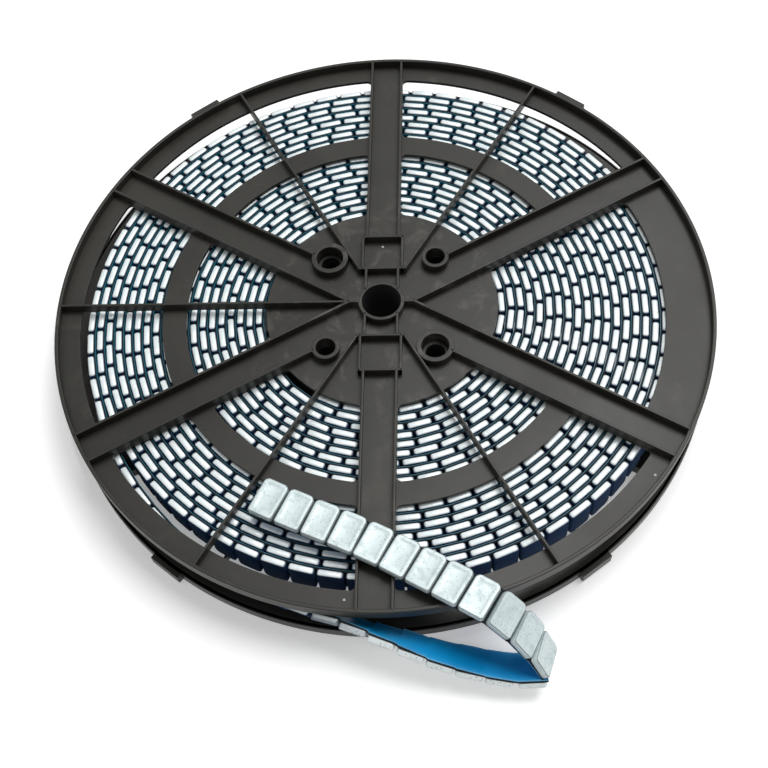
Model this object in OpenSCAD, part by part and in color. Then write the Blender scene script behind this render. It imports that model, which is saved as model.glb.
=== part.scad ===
// Roll of self-adhesive wheel balance weights on a two-flange moulded reel.
// The reel lies on its rear flange with its tail of strip pulled out, folded over and laid on top.
// Z points up along the bore. The origin is on the bore axis, level with the surface underneath.

/* [Strip] */
// Length of one weight along the strip
weight_l = 12.1; // [11:0.1:13]
// Width of one weight, which is the width of the strip
weight_w = 18; // [14:0.5:24]
// Thickness of one weight
weight_t = 3.1; // [2:0.1:4]
// Radius of a weight's two far corners
weight_corner_r = 2.6; // [1:0.1:4]
// Radius of a weight's two near corners
near_corner_r = 1.4; // [0.6:0.1:4]
// Depth of the shallow panel in a weight's face
panel_depth = 0.2; // [0.1:0.05:0.5]
// Border left around that panel
panel_border = 2; // [1.5:0.1:3]
// Gap between neighbouring weights
weight_gap = 0.9; // [0.6:0.1:1.6]
// Thickness of the foam tape
tape_t = 0.8; // [0.5:0.1:1.2]
// Thickness of the release liner
liner_t = 0.15; // [0.1:0.05:0.3]
// Slack between one turn and the next
turn_slack = 0.57; // [0.45:0.02:1]

// Extra tape at the fold, over and above the gap between weights
fold_slack = 4; // [3:0.2:5]

/* [Flanges] */
// Outer diameter of a flange
flange_d = 320; // [310:1:340]
// Thickness of the flange web
web_t = 1.8; // [1.2:0.1:3]
// Height of the lip and of the ribs above the web
rib_h = 4.4; // [3:0.1:6]
// Thickness of the lip around the rim
lip_t = 1.8; // [1.2:0.1:3]
// Width of the outer ring outside the ordinary windows
ring_w = 11.5; // [8:0.5:13]
// Width of the outer ring outside the large window
wide_ring_w = 23; // [16:0.5:30]
// Mean radius of the middle ring
mid_ring_r = 102.2; // [96:0.1:108]
// Width of the middle ring
mid_ring_w = 11.7; // [8:0.1:16]
// Radius of the solid disc around the hub
disc_r = 56.6; // [56:0.1:60]
// Width of a spoke between two windows
spoke_w = 17.3; // [16:0.1:20]
// Ledge between a spoke's rib and the edge of the window
rib_ledge = 0.15; // [0.05:0.05:0.6]
// Thickness of a spoke rib
rib_t = 1.3; // [1:0.1:2]
// Thickness of the single rib across a window
thin_rib_t = 1.2; // [0.8:0.1:2]
// Corner radius of the windows
window_corner_r = 2.5; // [1:0.1:4]

/* [Hub] */
// Diameter of the centre bore
bore_d = 19; // [16:0.5:20]
// Wall of the tube around the centre bore
hub_wall = 1.7; // [1.2:0.1:2.5]
// Outer radius of the drum that the roll is wound on
drum_r = 54; // [50:0.5:55]
// Wall of the drum
drum_wall = 2; // [1.5:0.1:3]
// Radius at which pegs and sockets stand
peg_circle_r = 37; // [35:0.5:38]
// Bore of a socket
socket_d = 13.2; // [12.5:0.1:14]
// Wall of a socket
socket_wall = 2.5; // [1.5:0.1:3]
// Bore of a peg
peg_bore_d = 9.5; // [8:0.1:10]
// Outside diameter of the boss over a peg
peg_boss_d = 13.5; // [12.8:0.1:15]
// Clearance between a peg and its socket, all round
peg_clearance = 0.2; // [0.1:0.05:0.4]
// Distance from the bore axis to the near wall of a label frame
frame_near = 19; // [17:0.5:21]
// Length of a label frame along its spoke
frame_l = 20.7; // [16:0.1:24]
// Outside width of a label frame
frame_w = 20.9; // [20:0.1:22]
// Length of a tab on the rim
tab_l = 17; // [10:0.5:24]
// How far a tab stands out from the rim
tab_out = 2.2; // [1:0.1:3]
// Angle of the tabs from the X axis
tab_angle = 52.5; // [45:0.5:58]

/* [Roll] */
// Space beside the strip between the flanges
side_clearance = 1; // [0.5:0.1:2]
// Distance from the full roll to the edge of the windows
roll_margin = 2.5; // [1.5:0.1:6]
// Weights counted from the free end as the loose tail
tail_count = 21; // [19:1:21]
// Weights from the fold to the free end
fold_count = 12; // [11:1:12]
// Space left under the strip where it lies on the front flange
rest_gap = 0.05; // [0:0.05:0.3]

/* [Hidden] */
$fn = 120;
// Colours
plastic = [0.2, 0.2, 0.19];
steel = [0.82, 0.87, 0.88];
foam = [0.1, 0.11, 0.12];
liner = [0.05, 0.4, 0.72];
// Heights above the surface underneath
flange_h = web_t + rib_h;
reel_gap = weight_w + side_clearance;
reel_h = 2 * flange_h + reel_gap;
strip_mid_z = flange_h + weight_w / 2;
// Radii
flange_r = flange_d / 2;
bore_r = bore_d / 2;
hub_r = bore_r + hub_wall;
window_r = flange_r - ring_w;
wide_window_r = flange_r - wide_ring_w;
mid_in_r = mid_ring_r - mid_ring_w / 2;
mid_out_r = mid_ring_r + mid_ring_w / 2;
// Ribs
rib_offset = (spoke_w - rib_t) / 2 - rib_ledge;
rib_root = web_t / 3;
thin_start = (frame_near + rib_t / 2) / sin(60);
frame_reach = (frame_near + rib_t / 2) / tan(60) + thin_rib_t / 2;
apex_x = rib_offset / sin(30);
rib_end = sqrt(pow(flange_r - lip_t / 2, 2) - pow(spoke_w / 2, 2));
peg_d = socket_d - 2 * peg_clearance;
// Strip
pitch = weight_l + weight_gap;
stack_t = liner_t + tape_t + weight_t;
turn_pitch = stack_t + turn_slack;
// A chord between two folds dips this far toward the drum
chord_dip = pitch * pitch / (8 * drum_r);
start_r = drum_r + chord_dip + liner_t + tape_t + turn_slack / 2;
end_r = window_r - roll_margin - weight_t;
end_angle = 195;
grow = turn_pitch / 360;
turns_angle = (end_r - start_r) / grow;
// Length of the spiral from its inner end through an angle a in degrees
function spiral_length(a) = (start_r * a + grow * a * a / 2) * PI / 180;
// Angle of the spiral at a length s from its inner end
function spiral_angle(s) =
    (sqrt(start_r * start_r + 2 * grow * s * 180 / PI) - start_r) / grow;
wound_length = spiral_length(turns_angle);

// Route of the tail. Each row is a point on the face that carries the weights:
// distance outside the rim, angle, height, heading of the strip's near edge and its tilt.
top_z = reel_h + rest_gap + liner_t + tape_t;
lower_route = [
    [end_r - flange_r, end_angle, strip_mid_z, 0, 90],
    [-15.6, 210, strip_mid_z, 0, 90],
    [-13.2, 225, strip_mid_z, 0, 90],
    [-9.6, 240, strip_mid_z + 0.3, -120, 87],
    [-5.6, 256, strip_mid_z + 0.8, -104, 75],
    [-1.8, 265.6, strip_mid_z + 0.8, -103, 64],
    [6.2, 273.7, strip_mid_z - 0.7, -106, 50],
    [16.2, 281.5, strip_mid_z - 5.8, -107, 38],
    [28.4, 289.8, strip_mid_z - 8, -103, 29],
    [31.5, 293.1, strip_mid_z - 7.8, -102, 27]
];
upper_route = [
    [31.5, 293.1, strip_mid_z - 7.8, -102, 27],
    [26.8, 292.6, strip_mid_z - 1.5, -110, 22],
    [17.9, 291, strip_mid_z + 8.2, -115, 13],
    [7.8, 288.4, top_z + 0.7, -117, 3],
    [-2, 285.2, top_z + 1.5, -118, 0],
    [-18.6, 278, top_z + 0.3, -118, 0],
    [-32.8, 268, top_z, -118, 0],
    [-41.6, 250.7, top_z, -114, 0],
    [-41, 235, top_z, -112, 0]
];
function route_point(row) =
    let (r = flange_r + row[0])
    [r * cos(row[1]), r * sin(row[1]), row[2],
     cos(row[3]) * cos(row[4]), sin(row[3]) * cos(row[4]), sin(row[4])];
// A smooth curve through the points of a route, passing each of them
curve_steps = 12;
function blend(a, b, c, d, t) =
    0.5 * (2 * b + (c - a) * t + (2 * a - 5 * b + 4 * c - d) * t * t
    + (3 * b - a - 3 * c + d) * t * t * t);
function curve(route) =
    let (p = [for (row = route) route_point(row)], n = len(p))
    [for (i = [0:n - 2], k = [0:curve_steps - 1])
        blend(p[max(i - 1, 0)], p[i], p[i + 1], p[min(i + 2, n - 1)], k / curve_steps),
     p[n - 1]];
function xyz(v) = [v[0], v[1], v[2]];
// Length of a curve from its start to each of its points
function step_length(c, i) = i + 1 < len(c) ? norm(xyz(c[i + 1]) - xyz(c[i])) : 0;
function lengths(c) =
    [for (i = 0, s = 0; i < len(c); s = s + step_length(c, i), i = i + 1) s];
function column(c, s, k) = [for (i = [0:len(c) - 1]) [s[i], c[i][k]]];
function table(c) = let (s = lengths(c)) [for (k = [0:5]) column(c, s, k)];
function unit(v) = v / norm(v);
// Place and near-edge direction of the strip at a length s along a curve's table
function on_curve(t, s) =
    [[lookup(s, t[0]), lookup(s, t[1]), lookup(s, t[2])],
     unit([lookup(s, t[3]), lookup(s, t[4]), lookup(s, t[5])])];
lower_table = table(curve(lower_route));
upper_table = table(curve(upper_route));
lower_length = max([for (v = lower_table[0]) v[0]]);
function on_spiral(s) =
    let (a = spiral_angle(s), r = start_r + grow * a, dir = end_angle - turns_angle + a)
    [[r * cos(dir), r * sin(dir), strip_mid_z], [0, 0, 1]];
// Back from the fold: first along the lower run, then into the roll
function behind_fold(s) =
    s < lower_length ? on_curve(lower_table, lower_length - s) : on_spiral(wound_length + lower_length - s);
back_count = floor((wound_length + lower_length - fold_slack / 2) / pitch);
lower_count = floor((lower_length - fold_slack / 2) / pitch);
function behind(k) = k == 0 ? behind_fold(0) : behind_fold(k * pitch + fold_slack / 2);
// The length at which the upper run has gone a straight distance d from where it is at length s
function farther(s, d) =
    let (
        from = on_curve(upper_table, s)[0],
        near = s + 2 * d - norm(on_curve(upper_table, s + d)[0] - from)
    )
    near + d - norm(on_curve(upper_table, near)[0] - from);
// Folds of the strip between its weights, from the inner end to the free end
stations = [
    for (k = [back_count:-1:0]) behind(k),
    for (k = 1, s = farther(0, pitch + fold_slack / 2); k <= fold_count; s = farther(s, pitch), k = k + 1)
        on_curve(upper_table, s)
];
weight_count = len(stations) - 1;
first_loose = weight_count - tail_count;
wound_stations = back_count - lower_count;
function run(i) = unit(stations[i + 1][0] - stations[i][0]);
function across(i) =
    let (w = stations[i][1] + stations[i + 1][1], d = run(i))
    unit(w - (w * d) * d);
function outward(i) = cross(run(i), across(i));
// Middle of a weight's lower face, half a pitch from the fold that is farther from the doubled one
function weight_mid(i) =
    i < back_count ? stations[i][0] + run(i) * pitch / 2 : stations[i + 1][0] - run(i) * pitch / 2;
// Direction and length of a unit of thickness at a fold
function mitre(i) =
    i == 0 ? outward(0) :
    i == weight_count ? outward(weight_count - 1) :
    let (a = outward(i - 1), b = outward(i)) (a + b) / (1 + a * b);
turn_count = ceil(turns_angle / 360);
// The turn that a wound weight lies in, counted from the drum
function turn_of(i) =
    i >= wound_stations - 1 ? turn_count :
    let (s = wound_length + lower_length - (back_count - i - 0.5) * pitch - fold_slack / 2)
    min(turn_count, floor(spiral_angle(max(s, 0)) / 360) + 1);
function two_digits(n) = n < 10 ? str("0", n) : str(n);
turn_names = [for (n = [1:turn_count]) str("wound_weights_", two_digits(n))];
tail_names = [for (n = [1:tail_count]) str("tail_weight_", two_digits(n))];

// Points of a round corner about a centre at radius r and angle a, from one angle to another
function corner(r, a, from, to) =
    [for (k = [0:4]) let (b = from + (to - from) * k / 4)
        [r * cos(a) + window_corner_r * cos(b), r * sin(a) + window_corner_r * sin(b)]];
function arc(r, from, to) =
    let (n = max(2, ceil(abs(to - from) / 2)))
    [for (k = [1:n - 1]) let (b = from + (to - from) * k / n) [r * cos(b), r * sin(b)]];
// Outline of a window between the spokes at angles a and b, from radius in_r to out_r
function window(a, b, in_r, out_r) =
    let (
        e = spoke_w / 2 + window_corner_r,
        out_c = out_r - window_corner_r,
        in_c = in_r + window_corner_r,
        out_a = asin(e / out_c),
        in_a = asin(e / in_c)
    )
    concat(
        corner(out_c, a + out_a, a - 90, a + out_a),
        arc(out_r, a + out_a, b - out_a),
        corner(out_c, b - out_a, b - out_a, b + 90),
        corner(in_c, b - in_a, b + 90, b - in_a + 180),
        arc(in_r, b - in_a, a + in_a),
        corner(in_c, a + in_a, a + in_a + 180, a + 270)
    );

module ring(out_r, in_r, z, h) {
    translate([0, 0, z])
        difference() {
            cylinder(r = out_r, h = h);
            translate([0, 0, -1]) cylinder(r = in_r, h = h + 2);
        }
}

// A straight rib along a direction, from one distance to another, beside the centre line
module rib(angle, from, to, offset, t) {
    rotate([0, 0, angle])
        translate([from, offset - t / 2, web_t - rib_root])
            cube([to - from, t, rib_h + rib_root]);
}

module web() {
    difference() {
        cylinder(r = flange_r, h = web_t);
        translate([0, 0, -1])
            linear_extrude(web_t + 2) {
                for (a = [30:60:270]) {
                    polygon(window(a, a + 60, mid_out_r, window_r));
                    polygon(window(a, a + 60, disc_r, mid_in_r));
                }
                polygon(window(-30, 30, disc_r, wide_window_r));
            }
    }
}

module spoke_ribs() {
    // The two spokes with label frames
    for (a = [90, 270], side = [-1, 1]) {
        rib(a, sqrt(pow(bore_r + hub_wall / 2, 2) - pow(rib_offset, 2)), frame_near + rib_t / 2,
            side * rib_offset, rib_t);
        rib(a, frame_near + frame_l - rib_t / 2, rib_end, side * rib_offset, rib_t);
    }
    // The other four: one rib runs to the apex beside the hub, one to a boss
    for (a = [30, 150, 210, 330]) {
        side = (a == 30 || a == 210) ? -1 : 1;
        rib(a, rib_offset / tan(30), rib_end, side * rib_offset, rib_t);
        rib(a, peg_circle_r * cos(15), rib_end, -side * rib_offset, rib_t);
    }
    for (a = [0, 180])
        rib(a, bore_r + hub_wall / 2, apex_x + rib_t / 2, 0, rib_t);
}

module window_ribs() {
    for (a = [60, 120, 240, 300])
        rib(a, thin_start, rib_end, 0, thin_rib_t);
    rib(180, apex_x, rib_end, 0, thin_rib_t);
}

module label_frames() {
    for (a = [90, 270]) {
        for (side = [-1, 1])
            rib(a, frame_near, frame_near + frame_l, side * (frame_w - rib_t) / 2, rib_t);
        rotate([0, 0, a])
            translate([frame_near + frame_l - rib_t, -frame_w / 2, web_t - rib_root])
                cube([rib_t, frame_w, rib_h + rib_root]);
        rotate([0, 0, a])
            translate([frame_near, -frame_reach, web_t - rib_root])
                cube([rib_t, 2 * frame_reach, rib_h + rib_root]);
    }
}

module rim_tabs() {
    for (a = [tab_angle, 180 - tab_angle])
        rotate([0, 0, a])
            translate([flange_r - lip_t / 2, -tab_l / 2, 0])
                cube([lip_t / 2 + tab_out, tab_l, flange_h]);
}

module at_peg_circle(angles) {
    for (a = angles)
        rotate([0, 0, a])
            translate([peg_circle_r, 0, 0])
                children();
}

// One flange with its half of the drum. Its inner face is at z = 0 and its ribs point up.
module flange() {
    difference() {
        union() {
            web();
            ring(flange_r, flange_r - lip_t, 0, flange_h);
            spoke_ribs();
            window_ribs();
            label_frames();
            rim_tabs();
            ring(drum_r, drum_r - drum_wall, -reel_gap / 2, reel_gap / 2 + rib_root);
            translate([0, 0, -reel_gap / 2])
                cylinder(r = hub_r, h = reel_gap / 2 + flange_h);
            at_peg_circle([135, 315])
                translate([0, 0, -reel_gap / 2])
                    cylinder(d = socket_d + 2 * socket_wall, h = reel_gap / 2 + flange_h);
            at_peg_circle([45, 225]) {
                cylinder(d = peg_boss_d, h = flange_h);
                translate([0, 0, -reel_gap])
                    cylinder(d = peg_d, h = reel_gap + web_t);
            }
        }
        translate([0, 0, -reel_gap])
            cylinder(r = bore_r, h = 2 * reel_gap + flange_h);
        at_peg_circle([135, 315])
            translate([0, 0, -reel_gap])
                cylinder(d = socket_d, h = 2 * reel_gap + flange_h);
        at_peg_circle([45, 225])
            translate([0, 0, -reel_gap - 1])
                cylinder(d = peg_bore_d, h = 2 * reel_gap + flange_h);
    }
}

module front_flange() {
    color(plastic) translate([0, 0, flange_h + reel_gap]) flange();
}

// The same moulding turned over about the X axis, so that each peg finds a socket
module rear_flange() {
    color(plastic) translate([0, 0, flange_h]) rotate([180, 0, 0]) flange();
}

// A layer of the strip under the weights, from depth a to depth b below the face that carries them.
// The wound part is flat in plan. Out of the roll the layer is flat under each weight and turns
// only in the gaps, so it has a section at both ends of each weight.
module strip_layer(a, b) {
    wound = [0:wound_stations];
    upper = [for (i = wound) let (q = stations[i][0] - a * mitre(i)) [q[0], q[1]]];
    lower = [for (i = wound) let (q = stations[i][0] - b * mitre(i)) [q[0], q[1]]];
    back = [for (i = [wound_stations:-1:0]) lower[i]];
    translate([0, 0, flange_h])
        linear_extrude(weight_w)
            polygon(concat(upper, back));
    sections = concat(
        [[stations[wound_stations][0], [0, 0, 1], mitre(wound_stations)]],
        [for (i = [wound_stations:weight_count - 1], end = [0, 1])
            [weight_mid(i) + (end - 0.5) * weight_l * run(i), across(i), mitre(i + end)]]
    );
    corners = [for (q = sections, d = [a, b], side = [-1, 1]) q[0] - d * q[2] + side * q[1] * weight_w / 2];
    sides = [for (k = [0:len(sections) - 2], f = [[0, 1, 5], [0, 5, 4], [2, 7, 3], [2, 6, 7],
        [0, 4, 6], [0, 6, 2], [1, 3, 7], [1, 7, 5]]) [for (v = f) v + 4 * k]];
    last = 4 * (len(sections) - 1);
    ends = [[0, 2, 3], [0, 3, 1], [last, last + 1, last + 3], [last, last + 3, last + 2]];
    polyhedron(corners, concat(sides, ends));
}

module foam_tape() {
    color(foam) strip_layer(0, tape_t);
}

module release_liner() {
    color(liner) strip_layer(tape_t, tape_t + liner_t);
}

// Puts children on the strip between two folds: X along it, Y across, Z out of the weights' face
module on_strip(i) {
    m = weight_mid(i);
    x = run(i);
    y = across(i);
    z = outward(i);
    multmatrix([[x[0], y[0], z[0], m[0]], [x[1], y[1], z[1], m[1]], [x[2], y[2], z[2], m[2]]])
        children();
}

// A wound weight, as a plain bar
module plain_weight() {
    translate([-weight_l / 2, -weight_w / 2, 0]) cube([weight_l, weight_w, weight_t]);
}

function round_rect(l, w, near_r, far_r) =
    [for (q = [[1, 1, 0], [-1, 1, 90], [-1, -1, 180], [1, -1, 270]], k = [0:4])
        let (r = q[1] > 0 ? near_r : far_r, a = q[2] + k * 22.5)
        [q[0] * (l / 2 - r) + r * cos(a), q[1] * (w / 2 - r) + r * sin(a)]];

// A weight of the tail, with its round corners and its shallow panel
module shaped_weight() {
    difference() {
        linear_extrude(weight_t)
            polygon(round_rect(weight_l, weight_w, near_corner_r, weight_corner_r));
        translate([0, 0, weight_t - panel_depth])
            linear_extrude(weight_t)
                polygon(round_rect(weight_l - 2 * panel_border, weight_w - 2 * panel_border,
                    near_corner_r / 2, weight_corner_r / 2));
    }
}

module wound_weights(turn) {
    color(steel)
        for (i = [0:first_loose - 1])
            if (turn_of(i) == turn)
                on_strip(i) plain_weight();
}

// Tail weights are counted from the free end
module tail_weight(n) {
    color(steel) on_strip(weight_count - n) shaped_weight();
}

front_flange();
rear_flange();
foam_tape();
release_liner();
for (n = [1:turn_count])
    wound_weights(n);
for (n = [1:tail_count])
    tail_weight(n);
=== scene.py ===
"""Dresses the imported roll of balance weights: its flanges, wound and loose weights, foam and liner."""
import math

import bmesh
import bpy
import numpy as np
from mathutils import Matrix, Vector


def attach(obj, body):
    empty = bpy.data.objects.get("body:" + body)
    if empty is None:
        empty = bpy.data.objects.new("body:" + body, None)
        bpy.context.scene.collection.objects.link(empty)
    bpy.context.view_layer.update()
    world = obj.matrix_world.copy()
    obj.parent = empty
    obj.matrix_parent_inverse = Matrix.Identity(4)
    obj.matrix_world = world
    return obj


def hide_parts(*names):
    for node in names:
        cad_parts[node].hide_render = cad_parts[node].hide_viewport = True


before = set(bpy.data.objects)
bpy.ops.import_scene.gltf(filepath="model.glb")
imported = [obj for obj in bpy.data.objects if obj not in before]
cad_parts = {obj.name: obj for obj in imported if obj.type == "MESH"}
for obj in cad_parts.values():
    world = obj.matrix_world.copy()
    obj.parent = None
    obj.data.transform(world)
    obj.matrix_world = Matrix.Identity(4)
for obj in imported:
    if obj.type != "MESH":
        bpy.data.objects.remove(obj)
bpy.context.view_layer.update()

MM = 0.001

# Sizes in millimetres, the same as the CAD source's.
WEIGHT_L, WEIGHT_W, WEIGHT_T = 12.1, 18.0, 3.1
FAR_CORNER_R, NEAR_CORNER_R = 2.6, 1.4
PANEL_DEPTH, PANEL_BORDER, WEIGHT_GAP = 0.2, 2.0, 0.9
PITCH = WEIGHT_L + WEIGHT_GAP
TAPE_T, LINER_T, TURN_SLACK, FOLD_SLACK = 0.8, 0.15, 0.57, 4.0
FLANGE_R, WEB_T, RIB_H, LIP_T = 160.0, 1.8, 4.4, 1.8
WINDOW_R, WIDE_WINDOW_R, MID_IN_R, MID_OUT_R = 148.5, 137.0, 96.35, 108.05
DISC_R, SPOKE_W, WINDOW_CORNER_R = 56.6, 17.3, 2.5
RIB_T, THIN_RIB_T, RIB_OFFSET, RIB_ROOT = 1.3, 1.2, 7.85, 0.6
BORE_R, HUB_R, DRUM_R, DRUM_WALL = 9.5, 11.2, 54.0, 2.0
PEG_CIRCLE_R, SOCKET_R, SOCKET_OUT_R = 37.0, 6.6, 9.1
PEG_R, PEG_BORE_R, PEG_BOSS_R = 6.4, 4.75, 6.75
FRAME_NEAR, FRAME_L, FRAME_W = 19.0, 20.7, 20.9
TAB_L, TAB_OUT, TAB_ANGLE = 17.0, 2.2, 52.5
SIDE_CLEARANCE, ROLL_MARGIN, REST_GAP = 1.0, 2.5, 0.05
FLANGE_H = WEB_T + RIB_H
REEL_GAP = WEIGHT_W + SIDE_CLEARANCE
REEL_H = 2 * FLANGE_H + REEL_GAP
MID_Z = FLANGE_H + WEIGHT_W / 2
TAIL_COUNT, FOLD_COUNT, CURVE_STEPS = 21, 12, 12
CHORD_DIP = PITCH ** 2 / (8 * DRUM_R)
TURN_PITCH = LINER_T + TAPE_T + WEIGHT_T + TURN_SLACK
START_R = DRUM_R + CHORD_DIP + LINER_T + TAPE_T + TURN_SLACK / 2
END_R, END_ANGLE = WINDOW_R - ROLL_MARGIN - WEIGHT_T, 195.0
GROW = TURN_PITCH / 360
TURNS_ANGLE = (END_R - START_R) / GROW
TOP_Z = REEL_H + REST_GAP + LINER_T + TAPE_T
# Soft edges of the mouldings, and how far behind a round wall's face the web and the ribs end in it.
SOFT_EDGE, FINE_EDGE, LIP_EDGE, TAB_EDGE, WEB_EDGE = 0.3, 0.08, 0.45, 0.6, 0.16
HUB_BITE, BOSS_BITE, SOCKET_BITE, LIP_BITE = 0.85, 0.8, 1.2, 0.5
PEG_ANGLES, SOCKET_ANGLES = (45, 225), (135, 315)
MARK_R, MARK_RISE, MARKS = 0.65, 0.2, ((-13.2, -152.4), (124.2, -93.6), (-0.2, 35.5))
# Painted shade: the faces between the turns darken between these two depths below the roll's sides.
ROLL_SHADE_FROM, ROLL_SHADE_TO = 0.12, 0.65
# Painted shade on the bore's wall: it darkens between these two distances outside the bore's radius.
BORE_SHADE_FROM, BORE_SHADE_TO = 0.2, 0.05
# How far each side of the foam, in the roll and on the tail, and of the film is set back.
FOAM_BACK_ROLL, FOAM_BACK_TAIL, FILM_BACK = 0.34, 0.10, 0.5
# The loose weights over which the strip loosens, and the fold's slope at its ends, in chords.
LOOSENING, FOLD_ROUNDNESS = 4, 1.35
# The tail's route, as in the CAD source: distance outside the rim, angle, height, heading, tilt.
LOWER_ROUTE = (
    (END_R - FLANGE_R, END_ANGLE, MID_Z, 0, 90),
    (-15.6, 210, MID_Z, 0, 90),
    (-13.2, 225, MID_Z, 0, 90),
    (-9.6, 240, MID_Z + 0.3, -120, 87),
    (-5.6, 256, MID_Z + 0.8, -104, 75),
    (-1.8, 265.6, MID_Z + 0.8, -103, 64),
    (6.2, 273.7, MID_Z - 0.7, -106, 50),
    (16.2, 281.5, MID_Z - 5.8, -107, 38),
    (28.4, 289.8, MID_Z - 8, -103, 29),
    (31.5, 293.1, MID_Z - 7.8, -102, 27),
)
UPPER_ROUTE = (
    (31.5, 293.1, MID_Z - 7.8, -102, 27),
    (26.8, 292.6, MID_Z - 1.5, -110, 22),
    (17.9, 291, MID_Z + 8.2, -115, 13),
    (7.8, 288.4, TOP_Z + 0.7, -117, 3),
    (-2, 285.2, TOP_Z + 1.5, -118, 0),
    (-18.6, 278, TOP_Z + 0.3, -118, 0),
    (-32.8, 268, TOP_Z, -118, 0),
    (-41.6, 250.7, TOP_Z, -114, 0),
    (-41, 235, TOP_Z, -112, 0),
)


def unit(v):
    """Vectors scaled to length one."""
    return v / np.linalg.norm(v, axis=-1, keepdims=True)


def smooth_table(rows):
    """A route as a smooth curve through its points, each span a cubic whose slope at a point is half
    the step between that point's neighbours, with the length from the start to each point of it."""
    rows = np.array(rows, float)
    r, a, head, tilt = FLANGE_R + rows[:, 0], *np.radians(rows[:, [1, 3, 4]]).T
    p = np.stack([r * np.cos(a), r * np.sin(a), rows[:, 2],
                  np.cos(head) * np.cos(tilt), np.sin(head) * np.cos(tilt), np.sin(tilt)], 1)
    last = len(p) - 1
    i = np.repeat(np.arange(last), CURVE_STEPS)
    t = np.tile(np.arange(CURVE_STEPS) / CURVE_STEPS, last)[:, None]
    before, here, there, after = p[np.maximum(i - 1, 0)], p[i], p[i + 1], p[np.minimum(i + 2, last)]
    q = 0.5 * (2 * here + (there - before) * t + (2 * before - 5 * here + 4 * there - after) * t ** 2
               + (3 * here - before - 3 * there + after) * t ** 3)
    q = np.vstack([q, p[-1:]])
    steps = np.linalg.norm(np.diff(q[:, :3], axis=0), axis=1)
    return np.concatenate([[0], np.cumsum(steps)]), q


def on_curve(table, s):
    """Place and near-edge direction of the strip at lengths s along a smooth table."""
    q = np.stack([np.interp(s, table[0], table[1][:, k]) for k in range(6)], -1)
    return q[..., :3], unit(q[..., 3:])


def spiral_angle(s):
    """Degrees turned at a length s of a spiral whose radius grows evenly with the angle."""
    return (np.sqrt(START_R ** 2 + 2 * GROW * s * 180 / math.pi) - START_R) / GROW


def on_spiral(s):
    """Place and edge direction on the spiral: the radius grows evenly while the direction turns."""
    a = spiral_angle(s)
    r, to = START_R + GROW * a, np.radians(END_ANGLE - TURNS_ANGLE + a)
    place = np.stack([r * np.cos(to), r * np.sin(to), np.full_like(s, MID_Z)], -1)
    return place, np.tile([0.0, 0.0, 1.0], (len(s), 1))


LOWER, UPPER = smooth_table(LOWER_ROUTE), smooth_table(UPPER_ROUTE)
LOWER_LENGTH = LOWER[0][-1]
WOUND_LENGTH = (START_R * TURNS_ANGLE + GROW * TURNS_ANGLE ** 2 / 2) * math.pi / 180
BACK_COUNT = int((WOUND_LENGTH + LOWER_LENGTH - FOLD_SLACK / 2) // PITCH)


def farther(s, d):
    """The length at which the upper run is a straight distance d from its place at length s, from a
    first guess of s + d and two corrections by what is missing."""
    start = on_curve(UPPER, s)[0]
    near = s + 2 * d - np.linalg.norm(on_curve(UPPER, s + d)[0] - start)
    return near + d - np.linalg.norm(on_curve(UPPER, near)[0] - start)


def fold_stations():
    """The strip's folds from its inner end to its free end: a pitch apart along the spiral and the
    lower run, counted back from the doubled fold, then a pitch apart along the upper run."""
    k = np.arange(BACK_COUNT, -1, -1)
    s = np.where(k == 0, 0, k * PITCH + FOLD_SLACK / 2)
    loose = s < LOWER_LENGTH
    wound = on_spiral(WOUND_LENGTH + LOWER_LENGTH - s[~loose])
    lower = on_curve(LOWER, LOWER_LENGTH - s[loose])
    lengths = [farther(0.0, PITCH + FOLD_SLACK / 2)]
    while len(lengths) < FOLD_COUNT:
        lengths.append(farther(lengths[-1], PITCH))
    upper = on_curve(UPPER, np.array(lengths))
    return [np.vstack(parts) for parts in zip(wound, lower, upper)]


def strip_frames():
    """Each weight's middle and its three directions, and the thickness direction at each fold, which
    is the sum of its neighbours' outward directions over one plus the cosine between them."""
    place, edge = fold_stations()
    run = unit(np.diff(place, axis=0))
    w = edge[:-1] + edge[1:]
    across = unit(w - (w * run).sum(1, keepdims=True) * run)
    outward = np.cross(run, across)
    back = np.arange(len(run))[:, None] < BACK_COUNT
    mid = np.where(back, place[:-1] + run * PITCH / 2, place[1:] - run * PITCH / 2)
    a, b = outward[:-1], outward[1:]
    mitre = (a + b) / (1 + (a * b).sum(1, keepdims=True))
    return mid, run, across, outward, np.vstack([outward[:1], mitre, outward[-1:]])


MID, RUN, ACROSS, OUTWARD, MITRE = strip_frames()
WEIGHT_COUNT = len(MID)
FIRST_LOOSE = WEIGHT_COUNT - TAIL_COUNT


# ---- mesh tools ----


def volume(points, faces):
    """Six times the volume inside faces, from the fan of triangles of each."""
    total = 0.0
    for ring in faces:
        ring = np.asarray(ring)
        a, b, c = points[ring[..., :1]], points[ring[..., 1:-1]], points[ring[..., 2:]]
        total += (np.cross(a, b) * c).sum()
    return total


def shell(points, quads, caps=()):
    """A closed shell as points and faces that look outwards, whichever way they were given."""
    points = np.asarray(points, float).reshape(-1, 3)
    faces = [np.asarray(quads)] + [np.asarray(cap)[None] for cap in caps]
    turn = volume(points, faces) < 0
    return points, [f[:, ::-1] if turn else f for f in faces]


def loft(rings, looped=False):
    """Rings of equal point counts joined in order: each quad spans one step round and one along. The
    ends are closed, unless the last ring joins the first."""
    n, m = rings.shape[:2]
    rows = np.arange(n if looped else n - 1)[:, None]
    here = np.arange(m)[None]
    there = (here + 1) % m
    after = (rows + 1) % n
    quads = np.stack([rows * m + here, rows * m + there, after * m + there, after * m + here], -1)
    caps = () if looped else (np.arange(m)[::-1], (n - 1) * m + np.arange(m))
    return shell(rings, quads.reshape(-1, 4), caps)


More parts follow.
